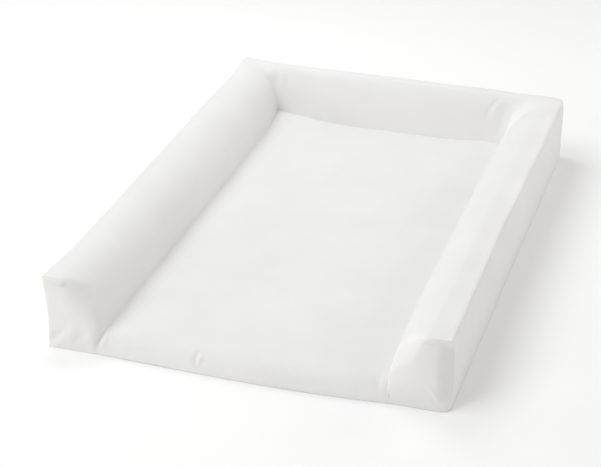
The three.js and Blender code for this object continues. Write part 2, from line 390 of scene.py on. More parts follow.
def round_front_ends(cover):
    """Rolls the front end of each side bolster over from its end cap to its inner face."""
    p = cover.points.copy()
    for side, name, section, inner, foot in (
        (-1, "left", LEFT_SECTION, ROUND_INNER_LEFT, ROUND_FOOT_LEFT),
        (1, "right", RIGHT_SECTION, ROUND_INNER_RIGHT, ROUND_FOOT_RIGHT),
    ):
        depth = HALF_WIDTH - side * p[:, 0]
        behind = p[:, 1] - FRONT
        own = np.union1d(cover.on_panel(f"cover_{name}_bolster"), cover.on_panel(f"cover_{name}_end_cap"))
        chosen = own[(depth[own] > 1 * MM) & (behind[own] < inner) & (p[own, 2] > 0.5 * MM)]
        outline = Outline(section, inner, foot)
        index, gap = outline.nearest(np.stack([depth[chosen], p[chosen, 2]], axis=1))
        on_cap = behind[chosen] < 0.01 * MM
        gap = np.where(on_cap, gap, 0)
        radius = outline.radius[index]
        angle = math.pi / 4 * np.where(on_cap, 1 - gap / radius, 1 + behind[chosen] / radius)
        rounded = (gap < radius) & (behind[chosen] < radius)
        strength = smoothstep(p[chosen, 2], 0, 14 * MM) * smoothstep(depth[chosen], 0, 8 * MM)
        in_by = (radius * (1 - np.sin(angle)) - gap) * rounded * strength
        back_by = (radius * (1 - np.cos(angle)) - behind[chosen]) * rounded * strength
        p[chosen, 0] -= side * in_by * outline.inward[index, 0]
        p[chosen, 1] += back_by
        p[chosen, 2] += in_by * outline.inward[index, 1]
    cover.points = p


def blend_left_rounding(cover):
    """Smooths the left bolster's shoulder where its rounded end runs out."""
    x, y, z = cover.points.T
    weight = smoothstep(HALF_WIDTH + x, 10 * MM, 30 * MM) * (x < 0)
    weight *= (z > LYING + 8 * MM) * (1 - smoothstep(z, 68 * MM, 84 * MM))
    weight *= 1 - smoothstep(y, FRONT + 40 * MM, FRONT + 80 * MM)
    cover.points = relaxed(cover.points, edges_of(cover.quads), weight, 10)


CHAMFER = 12.5 * MM
CORNER_SINK = 13.5 * MM
CAP_TURN = 48 * MM
CAP_SINK = 8 * MM


def shape_right_cap(cover):
    """The right cap turns back towards both its edges: over a ridge by the wall, gently by the crease."""
    p = cover.points
    depth = HALF_WIDTH - p[:, 0]
    outer_height = smoothstep(p[:, 2], 6 * MM, 24 * MM) * (1 - smoothstep(p[:, 2], 76 * MM, 89 * MM))
    outer = CORNER_SINK * np.clip(1 - depth / CHAMFER, 0, 1) * outer_height
    inner_height = smoothstep(p[:, 2], 14 * MM, 34 * MM)
    inner = CAP_SINK * np.clip((depth - RIGHT_SECTION[3] + CAP_TURN) / CAP_TURN, 0, 1.1) ** 2 * inner_height
    along = 1 - smoothstep(p[:, 1], FRONT, FRONT + 45 * MM)
    near = depth < RIGHT_SECTION.max()
    cover.points = p + np.stack([0 * depth, (outer + inner) * along * near, 0 * depth], axis=1)


# For each bolster: its side, its section, how far from the mitre the cloth fills in, and how far down it.
MITRES = ((-1, LEFT_SECTION, 14 * MM, 0.6), (1, RIGHT_SECTION, 18 * MM, 0.8))
MITRE_FADE = 0.22
LOWER_FILL = 0.16  # the whole mitre fills in by this share, over LOWER_REACH
LOWER_REACH = 9 * MM
MITRE_ROUNDS = 60


def soften_mitres(cover):
    """Fills the upper part of the valley where the head bolster meets each side bolster."""
    p = cover.points
    weight = np.zeros(len(p))
    for side, section, reach, lowest in MITRES:
        depth = section_depth(section)
        mitre = grid(side * (HALF_WIDTH - depth), BACK - section_depth(HEAD_SECTION), section_height(LYING))
        gap, place = along_path(p, mitre)
        upper = np.exp(-((gap / reach) ** 2)) * (1 - smoothstep(place, lowest - MITRE_FADE, lowest))
        whole = LOWER_FILL * np.exp(-((gap / LOWER_REACH) ** 2)) * (1 - smoothstep(place, 0.8, 1.0))
        weight = np.maximum(weight, np.maximum(upper, whole))
    weight *= smoothstep(HALF_WIDTH - np.abs(p[:, 0]), 2 * MM, 12 * MM)
    weight *= smoothstep(BACK - p[:, 1], 2 * MM, 10 * MM)
    cover.points = relaxed(p, edges_of(cover.quads), weight, MITRE_ROUNDS)


# Centre, reach and pull, each in millimetres.
CORNER_PULLS = (
    ((-240, -370, 95), (30, 60, 34), (-5.5, 0, 0)),
    ((-176, 332, 24), (62, 40, 16), (-0.5, 2.5, 8.5)),
    ((140, 332, 24), (35, 30, 16), (0, 3, 3)),
    ((-176, -371, 3), (16, 14, 8), (-5, 0, 0)),
    ((240, -120, 92), (10, 130, 20), (-3, 0, 0)),
    ((165, -365, 58), (30, 85, 30), (5, 0, 0)),
    ((180, 335, 68), (40, 45, 40), (5, 0, -2)),
    ((241, -371, 0), (8, 8, 14), (-3, 3, 0)),
    ((240, 370, 92), (9, 9, 9), (-2.5, -2.5, -1.5)),
    ((-236, 366, 92), (34, 34, 24), (0.5, -0.5, 3)),
)


def pull_corners(cover):
    """Where the taut cloth draws the corners of the cover away from the foam's own straight lines."""
    for centre, reach, way in CORNER_PULLS:
        gap = np.linalg.norm((cover.points / MM - np.array(centre, float)) / np.array(reach, float), axis=1)
        cover.points = cover.points + np.exp(-(gap**2))[:, None] * np.array(way, float) * MM


# ---- Objects ----


def new_object(name, points, faces, material=None):
    mesh = bpy.data.meshes.new(name)
    mesh.from_pydata([tuple(p) for p in points], [], [tuple(int(i) for i in f) for f in faces])
    mesh.update()
    piece = bpy.data.objects.new(name, mesh)
    bpy.context.scene.collection.objects.link(piece)
    if material:
        mesh.materials.append(material)
    mesh.shade_smooth()
    return piece


def placed(piece, body, slot, *nodes):
    """Attaches a piece to the body it rides on and hides the CAD nodes it stands for; its slot is not used.
    """
    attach(piece, body)
    if nodes:
        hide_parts(*nodes)
    return piece


def loft(name, rings, material):
    """A closed skin over a row of rings with as many points each."""
    rings = np.array(rings)
    count, sides = rings.shape[:2]
    first = sides * np.arange(count - 1)[:, None] + np.arange(sides)[None, :]
    beside = sides * np.arange(count - 1)[:, None] + (np.arange(sides)[None, :] + 1) % sides
    quads = np.stack([first, beside, beside + sides, first + sides], axis=-1).reshape(-1, 4)
    points = rings.reshape(-1, 3)
    start, end = list(range(sides - 1, -1, -1)), list(range(sides * (count - 1), sides * count))
    a, b, c, d = (points[quads[:, k]] for k in range(4))
    centre_line = np.repeat(rings.mean(axis=1)[:-1], sides, axis=0)
    if (np.cross(c - a, d - b) * (a - centre_line)).sum() < 0:
        quads = quads[:, ::-1]
        start, end = start[::-1], end[::-1]
    piece = new_object(name, points, [*quads.tolist(), start, end], material)
    piece.data.set_sharp_from_angle(angle=math.radians(35))
    return piece


def bevel(piece, width):
    modifier = piece.modifiers.new("bevel", "BEVEL")
    modifier.width = width
    modifier.segments = 3
    modifier.limit_method = "ANGLE"
    modifier.angle_limit = math.radians(35)
    modifier.harden_normals = True
    modifier.use_clamp_overlap = True


def repaint(node, material):
    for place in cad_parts[node].material_slots:
        place.material = material


def evaluated_mesh(piece):
    graph = bpy.context.evaluated_depsgraph_get()
    return bpy.data.meshes.new_from_object(piece.evaluated_get(graph))


def coordinates(mesh):
    found = np.empty(len(mesh.vertices) * 3)
    mesh.vertices.foreach_get("co", found)
    return found.reshape(-1, 3)


# ---- Cloth ----

CLOTH_FRAMES = 20
CLOTH_SETTINGS = {
    "quality": 5,
    "mass": 0.25,
    "tension_stiffness": 18,
    "compression_stiffness": 18,
    "shear_stiffness": 6,
    "bending_stiffness": 4,
    "tension_damping": 8,
    "compression_damping": 8,
    "air_damping": 2,
    "shrink_min": -0.002,
    "use_pressure": True,
    "uniform_pressure_force": 2.0,
    "vertex_group_mass": "held",
    "pin_stiffness": 1,
}
CROWN_LIMIT = 4 * MM
CROWN_ROUNDS = 40
SHARE_ROUNDS = 12
CROWN_SHARES = {"cover_lying_panel": 0.3, "cover_head_bolster": 0.35}  # the others keep all of it


def held_points(cover):
    """The sewn lines that stay where they are: all but the soft seams of the end caps and mitres."""
    p = cover.points
    return (seam_points(cover) & ~soft_seams(p)) | (p[:, 2] < 0.1 * MM) | open_edge(p)


def open_edge(p):
    """Points on the two edges of the head wall that the zip is sewn to."""
    at_slot = (np.abs(p[:, 2] - SLOT_FOOT) < 0.1 * MM) | (np.abs(p[:, 2] - SLOT_TOP) < 0.1 * MM)
    return at_slot & (np.abs(p[:, 1] - BACK) < 0.1 * MM)


def simulate(cover):
    """Blows the cover up between its seams, with a little slack in the cloth."""
    held = held_points(cover)
    piece = new_object("cloth", cover.points, cover.quads)
    group = piece.vertex_groups.new(name="held")
    group.add([int(i) for i in np.flatnonzero(held)], 1.0, "REPLACE")
    cloth = piece.modifiers.new("cloth", "CLOTH")
    for key, value in CLOTH_SETTINGS.items():
        setattr(cloth.settings, key, value)
    cloth.settings.effector_weights.gravity = 0
    cloth.collision_settings.use_collision = False
    cloth.collision_settings.use_self_collision = False
    cloth.point_cache.frame_start = 1
    cloth.point_cache.frame_end = CLOTH_FRAMES
    scene = bpy.context.scene
    for step in range(1, CLOTH_FRAMES + 1):
        scene.frame_set(step)
        bpy.context.view_layer.update()
    blown = evaluated_mesh(piece)
    moved = coordinates(blown) - cover.points
    bpy.data.objects.remove(piece)
    bpy.data.meshes.remove(blown)
    scene.frame_set(1)
    far = np.linalg.norm(moved, axis=1, keepdims=True)
    moved *= CROWN_LIMIT * np.tanh(far / CROWN_LIMIT) / np.maximum(far, 1e-9)
    moved = relaxed(moved, edges_of(cover.quads), 1.0 - held, CROWN_ROUNDS)
    share = np.ones((len(cover.points), 1))
    for panel, kept in CROWN_SHARES.items():
        share[cover.on_panel(panel)] = kept
    share = relaxed(share, edges_of(cover.quads), np.ones(len(share)), SHARE_ROUNDS)
    cover.points = cover.points + moved * share


# ---- A finer surface ----


def refined(cover):
    """Each quad in four, smoothed, with the sewn edges kept crisp."""
    piece = new_object("fine", cover.points, cover.quads)
    mesh = piece.data
    mesh.polygons.foreach_set("material_index", cover.panel.astype(np.int32))
    layer = mesh.uv_layers.new(name="cloth")
    layer.data.foreach_set("uv", cover.cloth.reshape(-1))
    for name in PANELS:
        mesh.materials.append(bpy.data.materials.new(name))
    ends = np.empty(len(mesh.edges) * 2, dtype=np.int32)
    mesh.edges.foreach_get("vertices", ends)
    crease = crisp_edges(cover, ends.reshape(-1, 2))
    mesh.attributes.new("crease_edge", "FLOAT", "EDGE").data.foreach_set("value", crease)
    finer = piece.modifiers.new("finer", "SUBSURF")
    finer.levels = 1
    finer.boundary_smooth = "PRESERVE_CORNERS"
    finer.uv_smooth = "NONE"
    fine = evaluated_mesh(piece)
    out = Cover()
    out.flat = cover.flat
    out.points = coordinates(fine)
    corners = np.empty(len(fine.loops), dtype=np.int32)
    fine.loops.foreach_get("vertex_index", corners)
    out.quads = corners.reshape(-1, 4)
    out.panel = np.empty(len(fine.polygons), dtype=np.int32)
    fine.polygons.foreach_get("material_index", out.panel)
    cloth = np.empty(len(fine.loops) * 2)
    fine.uv_layers["cloth"].data.foreach_get("uv", cloth)
    out.cloth = cloth.reshape(-1, 4, 2)
    bpy.data.objects.remove(piece)
    bpy.data.meshes.remove(fine)
    for name in PANELS:
        bpy.data.materials.remove(bpy.data.materials[name])
    return out


SOFT_MITRE = 70 * MM  # above this height a mitre is only a bend in the cloth
MITRE_FADE_HEIGHT = 32 * MM  # below that, its seam fades in over this height
CRISPNESS = 0.8


def crisp_edges(cover, ends):
    """How crisp each edge is: most along a sewn line, not at all on a soft seam or inside a panel."""
    sides = {}
    for quad, panel in zip(cover.quads.tolist(), cover.panel.tolist(), strict=True):
        for k in range(4):
            pair = (min(quad[k], quad[k - 1]), max(quad[k], quad[k - 1]))
            sides.setdefault(pair, set()).add(panel)
    soft, strength = soft_seams(cover.points), mitre_strength(cover.points)
    crease = np.zeros(len(ends), dtype=np.float32)
    for i, (a, b) in enumerate(ends.tolist()):
        if len(sides[(min(a, b), max(a, b))]) > 1 and not (soft[a] or soft[b]):
            crease[i] = CRISPNESS * min(strength[a], strength[b])
    return crease


def soft_seams(p):
    """Where seams run over the bolsters inside their outer edges, and hardly show."""
    inside = (HALF_WIDTH - np.abs(p[:, 0]) > 5 * MM) & (BACK - p[:, 1] > 5 * MM)
    lowest = np.where(p[:, 1] < 0, LYING + 4 * MM, SOFT_MITRE)
    return inside & (p[:, 2] > lowest)


def mitre_strength(p):
    """How much a seam shows: a mitre's fades out up to its soft part, any other shows in full."""
    on_mitre = (HALF_WIDTH - np.abs(p[:, 0]) > 5 * MM) & (BACK - p[:, 1] > 5 * MM) & (p[:, 1] > 0)
    return np.where(on_mitre, 1 - smoothstep(p[:, 2], SOFT_MITRE - MITRE_FADE_HEIGHT, SOFT_MITRE), 1.0)


# ---- Folds pressed into the surface ----


def smooth_path(points, steps=10):
    """A Catmull-Rom curve through a few points."""
    p = np.array(points, float) * MM
    p = np.concatenate([[2 * p[0] - p[1]], p, [2 * p[-1] - p[-2]]])
    t = np.linspace(0, 1, steps, endpoint=False)[:, None]
    parts = []
    for a, b, c, d in zip(p[:-3], p[1:-2], p[2:-1], p[3:], strict=True):
        square, cube = 2 * a - 5 * b + 4 * c - d, 3 * b - a - 3 * c + d
        parts.append(0.5 * (2 * b + (c - a) * t + square * t**2 + cube * t**3))
    return np.concatenate([*parts, p[-2:-1]])


def along_path(points, path):
    """Each point's distance from a path, and how far along it the nearest place is, from 0 to 1."""
    best = np.full(len(points), 1e9)
    place = np.zeros(len(points))
    for i, (a, b) in enumerate(zip(path[:-1], path[1:], strict=True)):
        step = b - a
        t = np.clip((points - a) @ step / (step @ step), 0, 1)
        gap = np.linalg.norm(points - a - t[:, None] * step, axis=1)
        nearer = gap < best
        best[nearer] = gap[nearer]
        place[nearer] = (i + t[nearer]) / (len(path) - 1)
    return best, place


# Each fold's route, width and depth in mm: a ridge is above 0, a valley below. A fold with a fourth value is
# a pleat, a valley with a ridge that far beside it.
FOLDS = (
    # The tuck across the top of the left end cap.
    ([(-229, -369, 82), (-217, -370, 84), (-201, -366, 90)], 2.0, 2.8, (0, 0, 3.6)),
    # Folds that run down to the bottom corners.
    ([(-218, -370, 30), (-227, -370, 17), (-238, -370, 7)], 3.4, 1.4, (4, 0, -5)),
    ([(-229, -370, 22), (-234, -370, 14), (-239, -370, 8)], 2.4, -1.2),
    ([(-205, -370, 34), (-211, -370, 18), (-219, -370, 5)], 4.5, 1.2),
    ([(-190, -366, 32), (-197, -368, 20), (-207, -370, 8)], 4.2, -1.5),
    ([(-186, -366, 22), (-191, -368, 15)], 4.0, 1.9),
    ([(-203, -370, 12), (-196, -370, 17)], 3.4, 1.3),
    # Where the crease ends, the lying panel is drawn in under the end cap.
    ([(-173, -352, 24), (-171, -364, 17), (-174, -370, 10), (-184, -371, 7)], 2.6, 2.4),
    ([(-178, -354, 24), (-177, -366, 17), (-181, -369, 12), (-190, -370, 10)], 2.8, -1.0),
    ([(-184, -371, 5), (-176, -371, 6), (-170, -371, 5)], 2.4, -2.4),
    ([(-169, -372, 6), (-163, -372, 6), (-156, -373, 5)], 2.4, -2.0),
    ([(-174, -370, 11), (-167, -371, 10), (-160, -372, 11)], 2.4, 1.2),
    # The tuck across the top of the right end cap.
    ([(196, -367, 89), (204, -370, 85), (213, -370, 83), (226, -370, 87)], 2.6, 2.0, (0, 0, 4.5)),
    ([(222, -369, 84), (238, -369, 83)], 4, -1.6),
    # Diagonal folds running into the bottom corner.
    ([(211, -370, 24), (223, -370, 13), (235, -369, 5)], 2.8, 1.6, (3, 0, 4.5)),
    ([(222, -370, 28), (231, -368, 17), (239, -366, 9)], 2.8, 1.3, (3, 0, 4)),
    ([(196, -371, 14), (208, -371, 8), (222, -371, 4)], 3.2, -1.1),
    # Gathers where the crease ends.
    ([(167, -367, 15), (167, -370, 8), (168, -371, 2)], 3.0, -1.0),
    ([(160, -352, 24), (162, -362, 20), (163, -368, 14)], 3.6, 1.2),
    ([(163, -371, 6), (152, -372, 5)], 3.0, -0.9),
    # The ridge that the cap turns back from, by the wall.
    ([(225, -371, 80), (225, -371, 55), (227, -371, 24)], 2.2, 0.8),
    # A pull in the seam of the front edge, with its small fan of folds.
    ([(-55, -363, 23), (-58, -370, 18), (-57, -374, 11), (-53, -376, 4)], 2.3, -2.2),
    ([(-62, -362, 23), (-60, -366, 21)], 3.0, 1.2),
    ([(-49, -366, 21), (-53, -372, 16), (-54, -374, 11)], 2.3, 1.8),
    ([(-48, -370, 17), (-50, -374, 12), (-51, -376, 4)], 2.3, -1.2),
    ([(-74, -372, 14), (-67, -375, 8), (-61, -375, 3)], 3.0, -0.8),
    # Drag folds on the head bolster beside its left corner, and faint ones near the right.
    ([(-194, 350, 88), (-190, 345, 77), (-184, 340, 62)], 2.4, 1.7),
    ([(-186, 351, 89), (-183, 346, 80), (-180, 341, 66)], 2.2, -1.3),
    ([(-178, 350, 88), (-174, 345, 78), (-171, 340, 63)], 2.8, 0.8),
    ([(-168, 349, 87), (-165, 344, 77), (-165, 340, 64)], 3.0, -0.6),
    ([(150, 351, 89), (143, 346, 80), (137, 342, 70), (135, 339, 58)], 2.8, -1.4),
    ([(157, 350, 86), (149, 344, 75), (144, 340, 62)], 3.2, 0.9),
    ([(160, 344, 72), (156, 338, 55), (156, 333, 38)], 4, -0.8),
)
RIDGE_SHARE = 0.7  # height of a pleat's ridge, as a share of its valley's depth

# Small folds that run up from the bottom seam: place along the front and depth, in mm.
SEAM_FOLDS = ((-138, 0.9), (-102, 0.6), (-80, 0.7), (-18, 0.7), (24, 0.5), (66, 0.8), (109, 0.6), (136, 0.9))


def every_fold():
    for route, width, depth, *beside in FOLDS:
        if beside:
            yield route, width, -depth
            yield np.array(route, float) + np.array(beside[0], float), width, RIDGE_SHARE * depth
        else:
            yield route, width, depth
    for x, depth in SEAM_FOLDS:
        front = (FRONT - front_bow(x * MM)) / MM
        yield [(x, front + 1, 14), (x + 1.5, front, 3)], 3.4, -depth


def press_folds(cover):
    """Moves the points near each fold along their normals, less towards the fold's ends."""
    p, normals = cover.points, vertex_normals(cover.points, cover.quads)
    move = np.zeros_like(p)
    for route, width, depth in every_fold():
        path = smooth_path(route)
        reach = 3 * width * MM
        near = np.flatnonzero(np.all((p > path.min(0) - reach) & (p < path.max(0) + reach), axis=1))
        gap, place = along_path(p[near], path)
        amount = depth * MM * np.sin(math.pi * place) ** 0.6 * np.exp(-((gap / (width * MM)) ** 2))
        move[near] += amount[:, None] * normals[near]
    cover.points = p + move


# ---- Seams ----

SEAM_REACH = 5 * MM
SEAM_DEPTH = 0.3 * MM
SEAM_ROLL = 0.3 * MM
PUCKER = 0.2 * MM
PUCKER_PITCH = 11 * MM
CREASE_REACH = 5 * MM
CREASE_ROUNDS = 6


def sew(cover):
    """Draws the cloth in along each seam but the left crease, with a low puckered roll beside it."""
    p, normals = cover.points, vertex_normals(cover.points, cover.quads)
    marks = np.flatnonzero(seam_points(cover) & ~soft_seams(p))
    tree = kdtree.KDTree(len(marks))
    for i in marks.tolist():
        tree.insert(p[i], i)
    tree.balance()
    found = [tree.find(point)[1:] for point in p.tolist()]
    gap = np.array([distance for _, distance in found])
    strength = mitre_strength(p)[[mark for mark, _ in found]] * (1 - left_crease(p))
    groove = np.exp(-((gap / (0.3 * SEAM_REACH)) ** 2))
    roll = np.exp(-(((gap - 0.75 * SEAM_REACH) / (0.45 * SEAM_REACH)) ** 2))
    phase = (p.sum(axis=1) / PUCKER_PITCH + 0.6 * waves(p, 60 * MM, 5)) * 2 * math.pi
    pucker = np.sin(phase) * (0.5 + 0.5 * waves(p, 90 * MM, 6)) * np.exp(-((gap / SEAM_REACH) ** 2))
    amount = SEAM_ROLL * roll - SEAM_DEPTH * groove + PUCKER * pucker
    floor = smoothstep(p[:, 2], 0, 4 * MM)
    cover.points = p + normals * (amount * floor * strength)[:, None]


def left_crease(p):
    """How near each point is to the crease of the left bolster, from 0 to 1."""
    away = np.hypot(p[:, 0] - LEFT_SECTION[3] + HALF_WIDTH, p[:, 2] - roll_height(np.maximum(p[:, 1], FRONT)))
    inside = smoothstep(p[:, 1], FRONT + 2 * MM, FRONT + 14 * MM) * (p[:, 1] < CREASE_END + 5 * MM)
    return np.exp(-((away / CREASE_REACH) ** 2)) * inside


def ease_crease(cover):
    """The cloth turns from the left bolster into the lying surface over a small radius."""
    cover.points = relaxed(cover.points, edges_of(cover.quads), left_crease(cover.points), CREASE_ROUNDS)


SLACK = 0.8 * MM
SWAY = 0.7 * MM


def slacken(cover):
    """Low undulations of cloth over foam, and seams that aren't quite straight."""
    p = cover.points
    normals = vertex_normals(p, cover.quads)
    floor = smoothstep(p[:, 2], 0, 12 * MM)
    off_zip = np.maximum(smoothstep(BACK - p[:, 1], 1 * MM, 6 * MM), smoothstep(p[:, 2], SLOT_TOP, 60 * MM))
    low_waves = 0.6 * waves(p, 120 * MM, 1) + 0.12 * waves(p, 45 * MM, 2)
    resting = 1 - 0.6 * (normals[:, 2] > 0.9) * (p[:, 2] < LYING + 5 * MM)
    cover.points = p + normals * (SLACK * low_waves * floor * off_zip * resting)[:, None]
    sway = np.stack([waves(p, 210 * MM, 3), waves(p, 210 * MM, 4), np.zeros(len(p))], axis=1)
    cover.points = cover.points + SWAY * sway


BOW = 7 * MM
BOW_REACH = 60 * MM


def front_bow(x):
    """How far the front edge is pushed out between the bolsters by the foam behind it."""
    left, right = LEFT_SECTION[3] - HALF_WIDTH, HALF_WIDTH - RIGHT_SECTION[3]
    share = np.clip((x - left) / (right - left), 0, 1)
    return BOW * np.sin(math.pi * share**1.25) ** 0.8


def bow_front(cover):
    p = cover.points
    bow = front_bow(p[:, 0]) * (1 - smoothstep(p[:, 1], FRONT, FRONT + BOW_REACH))
    cover.points = p - np.stack([0 * bow, bow, 0 * bow], axis=1)


# ---- Cutting the cover into its panels ----

CLOTH_THICKNESS = 0.9 * MM


def shell_of(cover, name, material, slot="cover_fabric"):
    """One panel of the cover as a closed piece of cloth, its outer face on the cover's surface.

    Its outer face is shaded with the whole cover's normals, so that a soft seam doesn't show as a line.
    """
    chosen = cover.panel == PANELS.index(name)
    used, quads = np.unique(cover.quads[chosen], return_inverse=True)
    quads = quads.reshape(-1, 4)
    outer = cover.points[used]
    normals = vertex_normals(cover.points, cover.quads)[used]
    inner = outer - CLOTH_THICKNESS * vertex_normals(outer, quads)
    count = len(outer)
    starts = np.concatenate([quads[:, k] for k in range(4)])
    ends = np.concatenate([quads[:, (k + 1) % 4] for k in range(4)])
    sides = set(zip(starts.tolist(), ends.tolist(), strict=True))
    rim = np.array([(b, a, a + count, b + count) for a, b in sides if (b, a) not in sides])
    rim = rim[np.lexsort(rim.T)]
    faces = np.concatenate([quads, quads[:, ::-1] + count, rim])
    points = np.concatenate([outer, inner])
    piece = new_object(name + "_cloth", points, faces, material)
    corner_map = cover.cloth[chosen]
    place = np.zeros((2 * count, 2))
    place[quads.reshape(-1)] = corner_map.reshape(-1, 2)
    place[count:] = place[:count]
    layer = piece.data.uv_layers.new(name="cloth")
    layer.data.foreach_set("uv", place[faces.reshape(-1)].reshape(-1))
    rim_normals = face_normal(points, rim)
    rim_normals /= np.linalg.norm(rim_normals, axis=1, keepdims=True)
    shading = np.concatenate([
        normals[quads.reshape(-1)],
        -normals[quads[:, ::-1].reshape(-1)],
        np.repeat(rim_normals, 4, axis=0),
    ])
    piece.data.normals_split_custom_set(shading.tolist())
    return placed(piece, "pad", slot, name)


def declare_sheets(cover, panels):
    """Works out what size each panel was cut to, less its seam allowances; the sizes are not used further."""
    for name, piece in panels.items():
        if name.startswith("zip_end_tab"):
            continue
        width, length, area = cover.flat[name]
        area = min(area, width * length)


# ---- Foam ----

FOAM_INSET = 4.5 * MM
FOAM_FRONT_INSET = 17 * MM  # behind the end caps, whose corners sink in
HEAD_WALL_INSET = 6.5 * MM  # room for the zip and the label
FOAM_JOINT = 0.6 * MM
FOAM_FOOT = 2 * MM
FOAM_CLEARANCE = 2.2 * MM
FOAM_EDGE = 1.2 * MM


def foam_outline(section, wall_inset):
    """A bolster's foam in (depth, height): its cover's section moved in, then straight down to the base."""
    shoulder, inward = shoulder_outline(section, LYING, SHOULDER_STEPS)
    shoulder += FOAM_INSET * inward
    top = shoulder[0, 1]
    inner = shoulder[-1, 0]
    return np.array([(wall_inset, FOAM_FOOT), (wall_inset, top), *shoulder, (inner, FOAM_FOOT)])


def tucked_in(rings, surface):
    """The rings with each point at least a little way inside the finished cover."""
    tucked = np.array(rings)
    for point in tucked.reshape(-1, 3):
        place, normal, _, _ = surface.find_nearest(point)
        outside = (Vector(point) - place).dot(normal) + FOAM_CLEARANCE
        if outside > 0:
            point -= np.array(normal) * outside
    return tucked


def side_foam(side, section):
    depth, height = foam_outline(section, FOAM_INSET).T
    end = BACK - foam_outline(HEAD_SECTION, HEAD_WALL_INSET)[:, 0] - FOAM_JOINT
    start = FRONT + FOAM_FRONT_INSET
    return [
        np.stack([side * (HALF_WIDTH - depth), start + (end - start) * share, height], axis=1)
        for share in np.linspace(0, 1, 49)
    ]


def head_foam():
    depth, height = foam_outline(HEAD_SECTION, HEAD_WALL_INSET).T
    left = foam_outline(LEFT_SECTION, FOAM_INSET)[:, 0] + FOAM_JOINT - HALF_WIDTH
    right = HALF_WIDTH - foam_outline(RIGHT_SECTION, FOAM_INSET)[:, 0] - FOAM_JOINT
    return [
        np.stack([left + (right - left) * share, BACK - depth, height], axis=1)
        for share in np.linspace(0, 1, 33)
    ]


def base_foam():
    inset = FOAM_INSET
    left = LEFT_SECTION[3] - HALF_WIDTH - inset + FOAM_JOINT
    right = HALF_WIDTH - RIGHT_SECTION[3] + inset - FOAM_JOINT
    end = BACK - HEAD_SECTION[3] + inset - FOAM_JOINT
    angles = np.linspace(0, math.pi / 2, 9)
    roll_y = FRONT + ROLL - (ROLL - inset) * np.cos(angles)
    roll_z = LYING - ROLL + (ROLL - inset) * np.sin(angles)
    y = np.concatenate([[FRONT + inset], roll_y, [end, end]])
    z = np.concatenate([[FOAM_FOOT], roll_z, [LYING - inset, FOAM_FOOT]])
    return [np.stack([np.full_like(y, x), y, z], axis=1) for x in np.linspace(left, right, 33)]


def make_foam(surface):
    blocks = {
        "foam_left_bolster": side_foam(-1, LEFT_SECTION),
        "foam_right_bolster": side_foam(1, RIGHT_SECTION),
        "foam_head_bolster": head_foam(),
        "foam_base_slab": base_foam(),
    }
    for name, rings in blocks.items():
        piece = loft(name + "_block", tucked_in(rings, surface), foam_material())
        bevel(piece, FOAM_EDGE)
        placed(piece, "pad", "foam", name)


# ---- Zip ----

COIL_PITCH = 1.35 * MM
WIRE = 0.3 * MM  # half the coil wire's thickness
STITCH_PITCH = 3.2 * MM
STITCH_LENGTH = 2.5 * MM
STITCH_MARGIN = 2.6 * MM
THREAD = 0.32 * MM


def zip_coil(name, side):
    """One row of a coil zip: a flattened spiral of plastic wire, sewn to its tape."""
    lowest, highest = low(name), high(name)
    centre = (SLOT_FOOT + SLOT_TOP) / 2
    near, far = 0.4 * MM, (highest[2] - lowest[2]) + 0.7 * MM
    half_height, middle = (far - near) / 2 - WIRE, centre + side * (near + far) / 2
    half_depth, middle_y = (highest[1] - lowest[1]) / 2 - WIRE, (highest[1] + lowest[1]) / 2
    turns = int((highest[0] - lowest[0] - 2 * WIRE) / COIL_PITCH)
    angle = np.linspace(0, 2 * math.pi * turns, 12 * turns + 1)
    phase = 0 if side > 0 else math.pi
    start = (lowest[0] + highest[0] - turns * COIL_PITCH) / 2
    route = np.stack([
        start + angle / (2 * math.pi) * COIL_PITCH,
        middle_y + half_depth * np.sin(angle + phase),
        middle + side * half_height * np.cos(angle + phase),
    ], axis=1)
    piece = loft(name + "_coil", tube_rings(route, WIRE, 5), coil_material())
    placed(piece, "pad", "zip_teeth", name)


def tube_rings(route, radius, sides):
    tangent = np.gradient(route, axis=0)
    tangent /= np.linalg.norm(tangent, axis=1, keepdims=True)
    reference = np.array([1.0, 0, 0])
    outward = np.cross(tangent, reference)
    outward /= np.linalg.norm(outward, axis=1, keepdims=True)
    other = np.cross(tangent, outward)
    turn = np.linspace(0, 2 * math.pi, sides, endpoint=False)[None, :, None]
    return list(route[:, None] + radius * (np.cos(turn) * outward[:, None] + np.sin(turn) * other[:, None]))


def stitches(name, surface, rows):
    """Rows of topstitching that lie on the cover, each stitch dipping into the cloth at its ends."""
    shape = [(-1.0, 0.15, -0.3), (-0.8, 0.75, 0.05), (-0.4, 1.0, 0.3)]  # place along it, width, rise
    shape += [(-along, wide, rise) for along, wide, rise in reversed(shape)]
    points, faces = [], []
    for start, end in rows:
        start, end = np.array(start), np.array(end)
        run = np.linalg.norm(end - start)
        way = (end - start) / run
        for i in range(int(run / STITCH_PITCH)):
            place, normal, _, _ = surface.find_nearest(start + way * (i + 0.5) * STITCH_PITCH)
            place, normal = np.array(place), np.array(normal)
            beside = np.cross(normal, way)
            first = len(points)
            for along, wide, rise in shape:
                middle = place + way * along * STITCH_LENGTH / 2 + normal * rise * THREAD
                for k in range(6):
                    angle = k * math.pi / 3
                    spoke = math.cos(angle) * beside + math.sin(angle) * normal
                    points.append(middle + THREAD * wide * spoke)
            for ring in range(len(shape) - 1):
                for k in range(6):
                    a, b = first + 6 * ring + k, first + 6 * ring + (k + 1) % 6
                    faces.append((a, b, b + 6, a + 6))
            faces.append(tuple(first + k for k in reversed(range(6))))
            last = first + 6 * (len(shape) - 1)
            faces.append(tuple(last + k for k in range(6)))
    piece = new_object(name, points, faces, thread_material())
    placed(piece, "pad", "cover_fabric")


